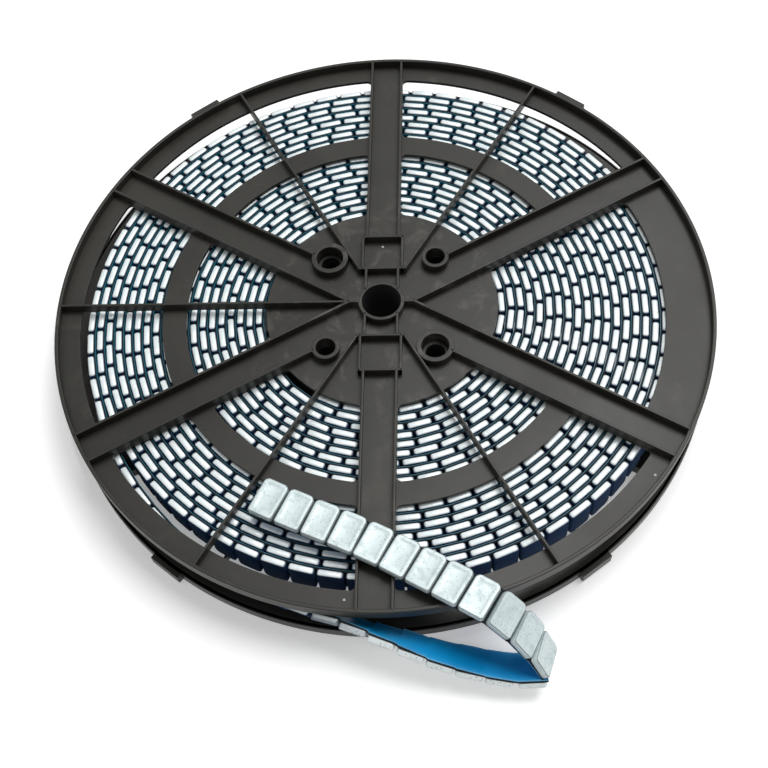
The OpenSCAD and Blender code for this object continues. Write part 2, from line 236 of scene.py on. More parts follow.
def copies(points, faces, middles, axes):
    """One shell repeated on many frames: each place is the middle plus the axes times the point."""
    placed = middles[:, None] + np.einsum("pk,nkc->npc", points, axes)
    shift = np.arange(len(middles))[:, None, None] * len(points)
    return placed.reshape(-1, 3), [(f[None] + shift).reshape(-1, f.shape[1]) for f in faces]


def piece(name, shells, material, nodes=(), sharp=40.0):
    """Shells in millimetres as one object on the reel, its faces smooth up to a sharp angle."""
    points, faces, start = [], [], 0
    for shell_points, shell_faces in shells:
        points.append(shell_points)
        faces += [row for block in shell_faces for row in (np.asarray(block) + start).tolist()]
        start += len(shell_points)
    mesh = bpy.data.meshes.new(name)
    mesh.from_pydata(np.vstack(points) * MM, [], faces)
    mesh.polygons.foreach_set("use_smooth", np.ones(len(faces), bool))
    mesh.set_sharp_from_angle(angle=math.radians(sharp))
    made = bpy.data.objects.new(name, mesh)
    bpy.context.scene.collection.objects.link(made)
    mesh.materials.append(material)
    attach(made, "root")
    if nodes:
        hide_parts(*nodes)
    return made


def even_normals(made):
    """Keeps broad flat faces flat beside their rounded edges."""
    weighted = made.modifiers.new("even_normals", "WEIGHTED_NORMAL")
    weighted.keep_sharp = True


def set_points(made, name, values):
    """Gives each vertex of a piece a value under a name that its material reads."""
    made.data.attributes.new(name, "FLOAT", "POINT").data.foreach_set("value", values)


def rounded(corners, radius, steps=3):
    """A closed outline with each corner cut to an arc: the arc's centre lies on the corner's bisector,
    and its points turn evenly from one side's direction to the next."""
    corners = np.array(corners, float)
    into = unit(corners - np.roll(corners, 1, 0))
    out = unit(np.roll(corners, -1, 0) - corners)
    turn = into[:, 0] * out[:, 1] - into[:, 1] * out[:, 0]
    half = np.arccos(np.clip((into * out).sum(1), -1, 1)) / 2
    radius = np.broadcast_to(radius, len(corners))
    reach = (radius * np.tan(half))[:, None]
    share = np.linspace(-1, 1, steps + 1)[None, :, None]
    bisector = unit(out - into)[:, None]
    along = unit(out + into)[:, None]
    angle = half[:, None, None] * share
    centre = corners[:, None] + bisector * (radius / np.cos(half))[:, None, None]
    arc = centre - radius[:, None, None] * (bisector * np.cos(angle) - along * np.sin(angle))
    straight = (np.abs(turn) < 1e-9) | (reach[:, 0] < 1e-9)
    arc[straight] = corners[straight][:, None]
    points = arc.reshape(-1, 2)
    keep = np.linalg.norm(points - np.roll(points, 1, 0), axis=1) > 1e-6
    return points[keep]


def turned(profile, centre, steps):
    """A closed profile of radius and height carried round an upright axis."""
    a = np.linspace(0, 2 * math.pi, steps, endpoint=False)[:, None]
    r, z = profile[None, :, 0], profile[None, :, 1]
    rings = np.stack([centre[0] + r * np.cos(a), centre[1] + r * np.sin(a), z + 0 * a], -1)
    return loft(rings, looped=True)


def bar(angle, start, end, offset, width, low, high, soft=SOFT_EDGE):
    """A straight rib: a section with soft corners carried from one distance to another along a
    direction, beside the centre line. Both ends draw in a little so that they are soft as well."""
    angle = math.radians(angle)
    along = np.array([math.cos(angle), math.sin(angle)])
    side = np.array([-math.sin(angle), math.cos(angle)])
    hw, draw = width / 2, 0.3 * soft
    section = rounded([(-hw, low), (hw, low), (hw, high), (-hw, high)], [0.05, 0.05, soft, soft])
    middle = np.array([0, (low + high) / 2])
    rings = []
    for at, keep in ((start, 1 - draw), (start + draw, 1), (end - draw, 1), (end, 1 - draw)):
        shape = middle + (section - middle) * keep
        flat = at * along + (offset + shape[:, :1]) * side
        rings.append(np.hstack([flat, shape[:, 1:]]))
    return loft(np.array(rings))


# ---- materials ----


def add(tree, kind, inputs=None, **settings):
    """A node with its settings, and each input given as a value or as a socket to link."""
    node = tree.nodes.new(kind)
    for key, value in settings.items():
        setattr(node, key, value)
    for key, value in (inputs or {}).items():
        if isinstance(value, bpy.types.NodeSocket):
            tree.links.new(value, node.inputs[key])
        else:
            node.inputs[key].default_value = value
    return node


def math_of(tree, operation, first, second=0.0):
    """The result of a Math node on two values or sockets."""
    return add(tree, "ShaderNodeMath", {0: first, 1: second}, operation=operation).outputs[0]


def attribute(tree, name):
    """A value that the piece carries on its vertices, and nought where it carries none."""
    return add(tree, "ShaderNodeAttribute", attribute_name=name).outputs["Fac"]


def group(name, inputs, outputs):
    """An empty shader group with named float or vector sockets."""
    tree = bpy.data.node_groups.new(name, "ShaderNodeTree")
    for label, kind in inputs:
        tree.interface.new_socket(label, in_out="INPUT", socket_type=kind)
    for label, kind in outputs:
        tree.interface.new_socket(label, in_out="OUTPUT", socket_type=kind)
    return tree, tree.nodes.new("NodeGroupInput"), tree.nodes.new("NodeGroupOutput")


FLOAT, VECTOR = "NodeSocketFloat", "NodeSocketVector"


def grain_group():
    """Fine moulded or cast grain: two noises, the second about three times as fine as the first."""
    tree, given, out = group("fine_grain", [("Vector", VECTOR), ("Scale", FLOAT)], [("Height", FLOAT)])
    finer = math_of(tree, "MULTIPLY", given.outputs["Scale"], 3.1)
    broad = add(tree, "ShaderNodeTexNoise",
                {"Vector": given.outputs["Vector"], "Scale": given.outputs["Scale"], "Detail": 2.0})
    fine = add(tree, "ShaderNodeTexNoise",
               {"Vector": given.outputs["Vector"], "Scale": finer, "Detail": 1.0})
    both = math_of(tree, "ADD", broad.outputs["Fac"], fine.outputs["Fac"])
    tree.links.new(both, out.inputs["Height"])
    return tree


def patches_group():
    """Soft patches: a detailed and distorted noise, cut between a low and a high level."""
    tree, given, out = group("soft_patches", [("Vector", VECTOR), ("Scale", FLOAT), ("Low", FLOAT),
                                              ("High", FLOAT)], [("Mask", FLOAT)])
    broad = add(tree, "ShaderNodeTexNoise",
                {"Vector": given.outputs["Vector"], "Scale": given.outputs["Scale"],
                 "Detail": 5.0, "Roughness": 0.62, "Distortion": 0.6})
    cut = add(tree, "ShaderNodeMapRange",
              {"Value": broad.outputs["Fac"], "From Min": given.outputs["Low"],
               "From Max": given.outputs["High"]}, interpolation_type="SMOOTHSTEP")
    tree.links.new(cut.outputs["Result"], out.inputs["Mask"])
    return tree


def specks_group():
    """Small pits: the middles of chance cells, as large as a size, in a share of all cells."""
    tree, given, out = group("small_specks", [("Vector", VECTOR), ("Scale", FLOAT), ("Size", FLOAT),
                                              ("Share", FLOAT)], [("Mask", FLOAT)])
    cells = add(tree, "ShaderNodeTexVoronoi",
                {"Vector": given.outputs["Vector"], "Scale": given.outputs["Scale"]})
    near = add(tree, "ShaderNodeMapRange",
               {"Value": cells.outputs["Distance"], "From Min": given.outputs["Size"],
                "From Max": 0.02})
    where = math_of(tree, "LESS_THAN", cells.outputs["Color"], given.outputs["Share"])
    both = math_of(tree, "MULTIPLY", near.outputs["Result"], where)
    tree.links.new(both, out.inputs["Mask"])
    return tree


GRAIN, PATCHES, SPECKS = grain_group(), patches_group(), specks_group()


def material(name, **values):
    """A material with one Principled shader, its constant values, and Object coordinates."""
    made = bpy.data.materials.new(name)
    made.use_nodes = True
    tree = made.node_tree
    shader = tree.nodes["Principled BSDF"]
    for key, value in values.items():
        shader.inputs[key.replace("_", " ")].default_value = value
    place = tree.nodes.new("ShaderNodeTexCoord").outputs["Object"]
    return made, tree, shader, place


def set_group(tree, shared, place, **values):
    """A shared group placed in a material with its own values."""
    node = tree.nodes.new("ShaderNodeGroup")
    node.node_tree = shared
    tree.links.new(place, node.inputs["Vector"])
    for key, value in values.items():
        node.inputs[key].default_value = value
    return node.outputs[0]


def mixed(tree, mask, first, second):
    """A colour between two, by a mask."""
    node = add(tree, "ShaderNodeMix", data_type="RGBA")
    tree.links.new(mask, node.inputs["Factor"])
    colours = [s for s in node.inputs if s.type == "RGBA"]
    for socket, value in zip(colours, (first, second)):
        if isinstance(value, bpy.types.NodeSocket):
            tree.links.new(value, socket)
        else:
            socket.default_value = (*value, 1)
    return [s for s in node.outputs if s.type == "RGBA"][0]


def ranged(tree, mask, low, high):
    """A number between two, by a mask."""
    node = add(tree, "ShaderNodeMapRange", {"Value": mask, "To Min": low, "To Max": high})
    return node.outputs["Result"]


def bump(tree, shader, height, distance, strength):
    """Feeds a height to the shader's normal, with its depth in millimetres."""
    node = add(tree, "ShaderNodeBump",
               {"Height": height, "Distance": distance * MM, "Strength": strength})
    tree.links.new(node.outputs["Normal"], shader.inputs["Normal"])


def reel_plastic():
    """Warm dark grey moulded plastic: fine grain, dull patches, pale rubbed places, and dusty patches
    near the hub, which count by how near they are. The bore's wall, and all that lies between the
    flanges, is painted nearly black as shade."""
    made, tree, shader, place = material("reel_plastic", Specular_IOR_Level=0.3)
    rubbed = set_group(tree, PATCHES, place, Scale=34.0, Low=0.56, High=0.8)
    dull = set_group(tree, PATCHES, place, Scale=11.0, Low=0.35, High=0.7)
    grain = set_group(tree, GRAIN, place, Scale=1500.0)
    base = mixed(tree, dull, (0.0170, 0.0160, 0.0128), (0.0250, 0.0238, 0.0192))
    colour = mixed(tree, rubbed, base, (0.052, 0.049, 0.041))
    far = add(tree, "ShaderNodeVectorMath", {0: place}, operation="LENGTH").outputs["Value"]
    close = add(tree, "ShaderNodeMapRange", {"Value": far, "From Min": 0.085, "From Max": 0.045})
    dust = set_group(tree, PATCHES, place, Scale=75.0, Low=0.5, High=0.72)
    dusty = math_of(tree, "MULTIPLY", close.outputs["Result"], dust)
    colour = mixed(tree, dusty, colour, (0.080, 0.076, 0.066))
    # Painted shade: nearly black on the bore's wall and on all that lies between the flanges.
    flat = add(tree, "ShaderNodeVectorMath", {0: place, 1: (1, 1, 0)}, operation="MULTIPLY").outputs[0]
    reach = add(tree, "ShaderNodeVectorMath", {0: flat}, operation="LENGTH").outputs["Value"]
    bore = add(tree, "ShaderNodeMapRange",
               {"Value": reach, "From Min": (BORE_R + BORE_SHADE_FROM) * MM,
                "From Max": (BORE_R + BORE_SHADE_TO) * MM}).outputs["Result"]
    inner = math_of(tree, "MAXIMUM", bore, painted_roll_shade(tree, place))
    colour = mixed(tree, inner, colour, (0.0025, 0.0025, 0.0025))
    tree.links.new(colour, shader.inputs["Base Color"])
    rough = math_of(tree, "MAXIMUM", ranged(tree, dull, 0.32, 0.46), inner)
    tree.links.new(rough, shader.inputs["Roughness"])
    bump(tree, shader, grain, 0.03, 0.5)
    return made


def painted_roll_shade(tree, place):
    """Painted shade between the turns of the roll: a mask, nought by the roll's upper and lower sides,
    and one well below them, from the distance to the middle height."""
    z = add(tree, "ShaderNodeSeparateXYZ", {"Vector": place}).outputs["Z"]
    off = math_of(tree, "ABSOLUTE", math_of(tree, "SUBTRACT", z, MID_Z * MM))
    edge = WEIGHT_W / 2
    return add(tree, "ShaderNodeMapRange",
               {"Value": off, "From Min": (edge - ROLL_SHADE_FROM) * MM, "From Max": (edge - ROLL_SHADE_TO) * MM},
               interpolation_type="SMOOTHSTEP").outputs["Result"]


def weight_coating(name, pale, shade, pit, speck_share):
    """Zinc-coloured coating on steel: cast grain, small dark pits, slightly darker blotches. The faces
    between the turns are painted dark navy by the roll's shade attribute, as painted shade with a
    painted reflection of the blue film, and the rims are painted dark by the attribute rim, as painted
    shade."""
    made, tree, shader, place = material(name, Metallic=0.15, Specular_IOR_Level=0.5)
    blotch = set_group(tree, PATCHES, place, Scale=160.0, Low=0.42, High=0.72)
    pits = set_group(tree, SPECKS, place, Scale=900.0, Size=0.36, Share=speck_share)
    grain = set_group(tree, GRAIN, place, Scale=900.0)
    base = mixed(tree, blotch, pale, shade)
    colour = mixed(tree, pits, base, pit)
    # Painted shade: dark lines along the bevels of the loose weights, by the attribute rim.
    edge_shade = ranged(tree, attribute(tree, "rim"), 0.0, 0.85)
    colour = mixed(tree, edge_shade, colour, (0.05, 0.065, 0.07))
    # Painted shade between the turns, tinted navy as a painted reflection of the blue film.
    roll_shade = math_of(tree, "MULTIPLY", attribute(tree, "roll_shade"), painted_roll_shade(tree, place))
    colour = mixed(tree, roll_shade, colour, (0.003, 0.028, 0.085))
    rough = math_of(tree, "MAXIMUM", ranged(tree, blotch, 0.36, 0.52), roll_shade)
    tree.links.new(colour, shader.inputs["Base Color"])
    tree.links.new(rough, shader.inputs["Roughness"])
    bump(tree, shader, grain, 0.05, 0.6)
    return made


def painted_glint_plastic():
    """The same plastic, pale on the ejector marks as a painted highlight for their glints."""
    return material("painted_glint_plastic", Base_Color=(0.42, 0.41, 0.39, 1), Roughness=0.35)[0]


def tape_foam():
    """Near-black closed-cell foam, with small cells."""
    made, tree, shader, place = material("tape_foam", Specular_IOR_Level=0.25)
    cells = set_group(tree, SPECKS, place, Scale=1900.0, Size=0.6, Share=0.9)
    patch = set_group(tree, PATCHES, place, Scale=90.0, Low=0.35, High=0.7)
    colour = mixed(tree, patch, (0.006, 0.010, 0.013), (0.014, 0.021, 0.026))
    tree.links.new(colour, shader.inputs["Base Color"])
    tree.links.new(ranged(tree, patch, 0.8, 0.95), shader.inputs["Roughness"])
    bump(tree, shader, cells, -0.08, 0.8)
    return made


def liner_film():
    """Azure release film: paler by its two edges, darker teal in the roll as painted shade, faint
    creases, satin gloss.
    """
    made, tree, shader, place = material("liner_film", Specular_IOR_Level=0.5)
    patch = set_group(tree, PATCHES, place, Scale=70.0, Low=0.35, High=0.7)
    creases = set_group(tree, GRAIN, place, Scale=260.0)
    film = mixed(tree, patch, (0.0, 0.29, 0.66), (0.0, 0.33, 0.74))
    film_edge = mixed(tree, attribute(tree, "edge"), film, (0.20, 0.55, 0.85))
    # Painted shade: the film in the roll is darkened to teal.
    colour = mixed(tree, attribute(tree, "wound"), film_edge, (0.0, 0.19, 0.29))
    tree.links.new(colour, shader.inputs["Base Color"])
    tree.links.new(ranged(tree, patch, 0.3, 0.42), shader.inputs["Roughness"])
    bump(tree, shader, creases, 0.06, 0.5)
    return made


# ---- the reel ----


def window(a, b, inner, outer):
    """Outline of a window between two spokes: two arcs about the bore, joined by four round corners."""
    reach = SPOKE_W / 2 + WINDOW_CORNER_R
    out_c, in_c = outer - WINDOW_CORNER_R, inner + WINDOW_CORNER_R
    out_a, in_a = math.degrees(math.asin(reach / out_c)), math.degrees(math.asin(reach / in_c))

    def corner(r, at, first, last):
        t = np.radians(np.linspace(first, last, 7))
        at = math.radians(at)
        return np.stack([r * math.cos(at) + WINDOW_CORNER_R * np.cos(t),
                         r * math.sin(at) + WINDOW_CORNER_R * np.sin(t)], 1)

    def arc(r, first, last):
        t = np.radians(np.linspace(first, last, max(3, int(abs(last - first)) + 1)))[1:-1]
        return np.stack([r * np.cos(t), r * np.sin(t)], 1)

    return np.vstack([
        corner(out_c, a + out_a, a - 90, a + out_a), arc(outer, a + out_a, b - out_a),
        corner(out_c, b - out_a, b - out_a, b + 90), corner(in_c, b - in_a, b + 90, b - in_a + 180),
        arc(inner, b - in_a, a + in_a), corner(in_c, a + in_a, a + in_a + 180, a + 270),
    ])


def circle(r, centre=(0.0, 0.0), steps=96):
    """Points round a circle."""
    t = np.linspace(0, 2 * math.pi, steps, endpoint=False)
    return np.stack([centre[0] + r * np.cos(t), centre[1] + r * np.sin(t)], 1)


def peg_place(angle):
    """Centre of a peg or socket at an angle on their circle."""
    a = math.radians(angle)
    return PEG_CIRCLE_R * math.cos(a), PEG_CIRCLE_R * math.sin(a)


def web_plate():
    """The flange's web with its windows: flat outlines filled, given thickness and a soft edge."""
    outlines = [circle(FLANGE_R - LIP_BITE, steps=240), circle(BORE_R + BOSS_BITE)]
    outlines += [circle(SOCKET_R + SOCKET_BITE, peg_place(a), 48) for a in SOCKET_ANGLES]
    outlines += [circle(PEG_BORE_R + BOSS_BITE, peg_place(a), 48) for a in PEG_ANGLES]
    for a in range(30, 271, 60):
        outlines += [window(a, a + 60, MID_OUT_R, WINDOW_R), window(a, a + 60, DISC_R, MID_IN_R)]
    outlines.append(window(-30, 30, DISC_R, WIDE_WINDOW_R))
    curve = bpy.data.curves.new("web_outline", "CURVE")
    curve.dimensions, curve.fill_mode = "2D", "BOTH"
    curve.extrude, curve.bevel_depth = WEB_T / 2 - WEB_EDGE, WEB_EDGE
    curve.bevel_resolution, curve.offset = 1, -WEB_EDGE
    for outline in outlines:
        spline = curve.splines.new("POLY")
        spline.points.add(len(outline) - 1)
        flat = np.hstack([outline, np.zeros((len(outline), 1)), np.ones((len(outline), 1))])
        spline.points.foreach_set("co", flat.ravel())
        spline.use_cyclic_u = True
    holder = bpy.data.objects.new("web_outline", curve)
    bpy.context.scene.collection.objects.link(holder)
    solved = holder.evaluated_get(bpy.context.evaluated_depsgraph_get())
    mesh = bpy.data.meshes.new_from_object(solved)
    work = bmesh.new()
    work.from_mesh(mesh)
    bmesh.ops.remove_doubles(work, verts=work.verts, dist=0.001)
    bmesh.ops.recalc_face_normals(work, faces=work.faces)
    work.verts.index_update()
    points = np.array([v.co for v in work.verts]) + (0, 0, WEB_T / 2)
    faces = [np.array([[v.index for v in f.verts]]) for f in work.faces]
    work.free()
    bpy.data.objects.remove(holder)
    bpy.data.curves.remove(curve)
    bpy.data.meshes.remove(mesh)
    return points, faces


def tube(inner, outer, low, high, centre=(0.0, 0.0), soft=SOFT_EDGE, steps=72):
    """A round tube, soft at its upper edges."""
    profile = rounded([(inner, low), (outer, low), (outer, high), (inner, high)],
                      [FINE_EDGE, FINE_EDGE, soft, soft])
    return turned(profile, centre, steps)


def flange_shells():
    """One flange with its half of the drum: its inner face at height zero, its ribs upwards."""
    low, high = WEB_T - RIB_ROOT, FLANGE_H
    rim_end = math.sqrt((FLANGE_R - LIP_T / 2) ** 2 - (SPOKE_W / 2) ** 2)
    hub_start = math.sqrt((BORE_R + HUB_BITE) ** 2 - RIB_OFFSET ** 2)
    apex = RIB_OFFSET / math.sin(math.radians(30))
    near, far = FRAME_NEAR + RIB_T / 2, FRAME_NEAR + FRAME_L - RIB_T / 2
    ribs = []
    for a in (90, 270):
        for side in (-1, 1):
            ribs.append((a, hub_start, near, side * RIB_OFFSET, RIB_T))
            ribs.append((a, far, rim_end, side * RIB_OFFSET, RIB_T))
            ribs.append((a, FRAME_NEAR, FRAME_NEAR + FRAME_L, side * (FRAME_W - RIB_T) / 2, RIB_T))
        reach = near / math.tan(math.radians(60)) + THIN_RIB_T / 2
        ribs.append((a + 90, -FRAME_W / 2, FRAME_W / 2, -far, RIB_T))
        ribs.append((a + 90, -reach, reach, -near, RIB_T))
    between = math.radians(15)
    boss_x, boss_y = PEG_CIRCLE_R * math.cos(between), PEG_CIRCLE_R * math.sin(between)
    for a in (30, 150, 210, 330):
        side = -1 if a in (30, 210) else 1
        ribs.append((a, RIB_OFFSET / math.tan(math.radians(30)), rim_end, side * RIB_OFFSET, RIB_T))
        wall = (PEG_BORE_R + PEG_BOSS_R) / 2 if a in (30, 210) else (SOCKET_R + SOCKET_OUT_R) / 2
        start = boss_x + math.sqrt(wall ** 2 - (boss_y - RIB_OFFSET) ** 2)
        ribs.append((a, start, rim_end, -side * RIB_OFFSET, RIB_T))
    ribs += [(a, BORE_R + HUB_BITE, apex + RIB_T / 2, 0, RIB_T) for a in (0, 180)]
    thin_start = near / math.sin(math.radians(60))
    ribs += [(a, thin_start, rim_end, 0, THIN_RIB_T) for a in (60, 120, 240, 300)]
    ribs.append((180, apex, rim_end, 0, THIN_RIB_T))
    shells = [bar(*rib, low, high) for rib in ribs]
    tab_t = LIP_T / 2 + TAB_OUT
    tab_r = FLANGE_R - LIP_T / 2 + tab_t / 2
    shells += [bar(a + 90, -TAB_L / 2, TAB_L / 2, -tab_r, tab_t, 0, FLANGE_H, TAB_EDGE)
               for a in (TAB_ANGLE, 180 - TAB_ANGLE)]
    shells.append(web_plate())
    shells.append(tube(FLANGE_R - LIP_T, FLANGE_R, 0, FLANGE_H, soft=LIP_EDGE, steps=240))
    shells.append(tube(DRUM_R - DRUM_WALL, DRUM_R, -REEL_GAP / 2, RIB_ROOT, steps=180))
    shells.append(tube(BORE_R, HUB_R, -REEL_GAP / 2, FLANGE_H))
    shells += [tube(SOCKET_R, SOCKET_OUT_R, -REEL_GAP / 2, FLANGE_H, peg_place(a))
               for a in SOCKET_ANGLES]
    peg = rounded([(PEG_BORE_R, -REEL_GAP), (PEG_R, -REEL_GAP), (PEG_R, RIB_ROOT),
                   (PEG_BOSS_R, RIB_ROOT), (PEG_BOSS_R, FLANGE_H), (PEG_BORE_R, FLANGE_H)],
                  [0.2, 0.2, 0, 0.05, SOFT_EDGE, SOFT_EDGE])
    shells += [turned(peg, peg_place(a), 72) for a in PEG_ANGLES]
    return shells


def ejector_mark(x, y):
    """A low round button that an ejector pin left on the web: a flat top with a soft edge."""
    low, high, inner = WEB_T - 0.3, WEB_T + MARK_RISE, 0.1
    profile = rounded([(inner, low), (MARK_R, low), (MARK_R, high), (inner, high)], [0, 0, 0.15, 0.04])
    return turned(profile, (x, y), 16)


def reel(plastic, painted_glint):
    """Both flanges: the rear one is the front one turned over about X. Only the front one's ejector
    marks are pale, a painted highlight for their glints."""
    shells, marks = flange_shells(), [ejector_mark(x, y) for x, y in MARKS]
    raised = (0, 0, FLANGE_H + REEL_GAP)
    front, front_marks = ([(p + raised, f) for p, f in part] for part in (shells, marks))
    rear = [(p * (1, -1, -1) + (0, 0, FLANGE_H), f) for p, f in shells + marks]
    # Painted highlight: the ejector marks are made pale in place of their glints.
    piece("front_ejector_marks", front_marks, painted_glint)
    even_normals(piece("front_flange_moulding", front, plastic, ["front_flange"]))
    even_normals(piece("rear_flange_moulding", rear, plastic, ["rear_flange"]))


# ---- the strip ----


def slab(rings, corner_steps):
    """A weight as rings of a rectangle with round corners, the near ones smaller: each ring is drawn in
    by an inset at a height."""
    loops = []
    for inset, height in rings:
        hl, hw = WEIGHT_L / 2 - inset, WEIGHT_W / 2 - inset
        far, near = max(FAR_CORNER_R - inset, 0.5), max(NEAR_CORNER_R - inset, 0.5)
        flat = rounded([(-hl, -hw), (hl, -hw), (hl, hw), (-hl, hw)], [far, far, near, near],
                       corner_steps)
        loops.append(np.hstack([flat, np.full((len(flat), 1), height)]))
    return loft(np.array(loops))


def turn_of():
    """The turn that each wound weight lies in, counted from the drum."""
    i = np.arange(FIRST_LOOSE)
    s = WOUND_LENGTH + LOWER_LENGTH - (BACK_COUNT - i - 0.5) * PITCH - FOLD_SLACK / 2
    turns = math.ceil(TURNS_ANGLE / 360)
    turn = np.floor(spiral_angle(np.maximum(s, 0)) / 360) + 1
    loose_from = BACK_COUNT - int((LOWER_LENGTH - FOLD_SLACK / 2) // PITCH)
    return np.where(i >= loose_from - 1, turns, np.minimum(turn, turns)).astype(int)


AXES = np.stack([RUN, ACROSS, OUTWARD], 1)
# The rings of a wound and of a loose weight as inset and height, and the painted edge shade on a loose
# one's.
COIL_RINGS = ((0.6, 0.0), (0.15, 0.35), (0.0, 0.9), (0.0, 2.2), (0.15, 2.75), (0.6, WEIGHT_T))
TAIL_RINGS = (
    (0.4, 0.0), (0.12, 0.06), (0.0, 0.25), (0.0, 2.6), (0.06, 2.82), (0.2, 2.98), (0.4, 3.07),
    (0.65, WEIGHT_T), (PANEL_BORDER - 0.4, WEIGHT_T), (PANEL_BORDER, 3.06),
    (PANEL_BORDER + 0.5, 2.97), (PANEL_BORDER + 0.9, WEIGHT_T - PANEL_DEPTH),
)
RIM_SHADE = (1, 0.8, 0.1, 0, 0.3, 1, 0.5, 0, 0, 0.12, 0, 0)


def weights(coil_coating, lower_coating, upper_coating):
    """The wound weights, one piece for each turn, and the loose weights one by one, with a share of
    painted shade on each of their rings. The roll's painted shade fades out over the last three loose
    weights by the roll."""
    plain, shaped = slab(COIL_RINGS, 2), slab(TAIL_RINGS, 7)
    turn = turn_of()
    for n in range(1, turn.max() + 1):
        i = np.flatnonzero(turn == n)
        made = piece(f"coil_weights_{n:02d}", [copies(*plain, MID[i], AXES[i])], coil_coating,
                     [f"wound_weights_{n:02d}"], sharp=50.0)
        # Painted shade: every face of the wound weights between the turns may darken to navy.
        set_points(made, "roll_shade", np.ones(len(made.data.vertices)))
    for n in range(1, TAIL_COUNT + 1):
        i = [WEIGHT_COUNT - n]
        coating = upper_coating if n <= FOLD_COUNT else lower_coating
        made = piece(f"loose_weight_{n:02d}", [copies(*shaped, MID[i], AXES[i])], coating,
                     [f"tail_weight_{n:02d}"])
        # Painted shade along each loose weight's bevels.
        set_points(made, "rim", np.repeat(RIM_SHADE, len(shaped[0]) // len(TAIL_RINGS)))
        # The roll's painted shade fades out over the last three loose weights.
        fading = max(0.0, 1 - (TAIL_COUNT - n) / 3)
        set_points(made, "roll_shade", np.full(len(shaped[0]), fading))


def looseness(grid):
    """Nought on the roll, one on the tail, and rising evenly over the first four loose weights."""
    return np.clip((grid - 2 * FIRST_LOOSE) / (2 * LOOSENING), 0, 1)


def eased(values, grid):
    """A direction that each weight has at its middle, turning evenly from one middle to the next on
    either side of the doubled fold."""
    knots, fold = 2 * np.arange(WEIGHT_COUNT) + 0.5, BACK_COUNT
    before, after = (np.stack([np.interp(grid, knots[part], values[part, k]) for k in range(3)], -1)
                     for part in (slice(None, fold), slice(fold, None)))
    return unit(np.where((grid < 2 * fold - 0.5)[:, None], before, after))


def strip_sections(tail_steps):
    """Sections of the strip under the weights: place, across direction and thickness direction at both
    ends of each weight, more of them on the loose tail, and a round turn at the doubled fold, where the
    place follows a cubic whose end slopes are the directions of the two weights beside it."""
    ends = MID[:, None] + np.array([-0.5, 0.5])[None, :, None] * WEIGHT_L * RUN[:, None]
    depth = np.stack([MITRE[:-1], MITRE[1:]], 1)
    fold = BACK_COUNT
    depth[fold - 1, 1], depth[fold, 0] = OUTWARD[fold - 1], OUTWARD[fold]
    place = ends.reshape(-1, 3)
    across = np.repeat(ACROSS, 2, 0)
    depth = depth.reshape(-1, 3)
    first = 2 * FIRST_LOOSE
    end = len(place) - 1
    grid = np.concatenate([np.arange(first), np.arange(first, end, 1 / tail_steps), [end]])
    low = np.minimum(grid.astype(int), len(place) - 2)
    t = (grid - low)[:, None]

    def between(values):
        return values[low] * (1 - t) + values[low + 1] * t

    p, w, d = between(place), unit(between(across)), between(depth)
    loose = looseness(grid)[:, None]
    w = unit(w * (1 - loose) + eased(ACROSS, grid) * loose)
    d = d * (1 - loose) + eased(OUTWARD, grid) * loose
    bend = (grid > 2 * fold - 1) & (grid < 2 * fold)
    u = (grid[bend] - (2 * fold - 1))[:, None]
    a, b = place[2 * fold - 1], place[2 * fold]
    slope = FOLD_ROUNDNESS * np.linalg.norm(b - a)
    ta, tb = RUN[fold - 1] * slope, RUN[fold] * slope
    p[bend] = ((2 * u ** 3 - 3 * u ** 2 + 1) * a + (u ** 3 - 2 * u ** 2 + u) * ta
               + (3 * u ** 2 - 2 * u ** 3) * b + (u ** 3 - u ** 2) * tb)
    tangent = ((6 * u ** 2 - 6 * u) * a + (3 * u ** 2 - 4 * u + 1) * ta
               + (6 * u - 6 * u ** 2) * b + (3 * u ** 2 - 2 * u) * tb)
    d[bend] = unit(np.cross(unit(tangent), w[bend]))
    return p, w, d, grid


def layer_rings(place, across, depth, profile):
    """A closed profile of side distance and depth, carried along the strip's sections. The profile is
    one outline for all sections, or one for each."""
    side, down = np.broadcast_to(profile, (len(place), *np.shape(profile)[-2:])).transpose(2, 0, 1)
    return place[:, None] + side[..., None] * across[:, None] - down[..., None] * depth[:, None]


def foam(material_):
    """The foam tape: a section with soft corners, a little narrower than the weights and narrower still
    in the roll."""
    place, across, depth, grid = strip_sections(4)
    half = WEIGHT_W / 2
    outline = rounded([(-half, 0), (half, 0), (half, TAPE_T), (-half, TAPE_T)], 0.22, 3)
    share = 1 - (FOAM_BACK_ROLL - (FOAM_BACK_ROLL - FOAM_BACK_TAIL) * looseness(grid)) / half
    outline = outline * np.stack([share, np.ones_like(share)], -1)[:, None]
    piece("foam_tape_black", [loft(layer_rings(place, across, depth, outline))], material_,
          ["foam_tape"])


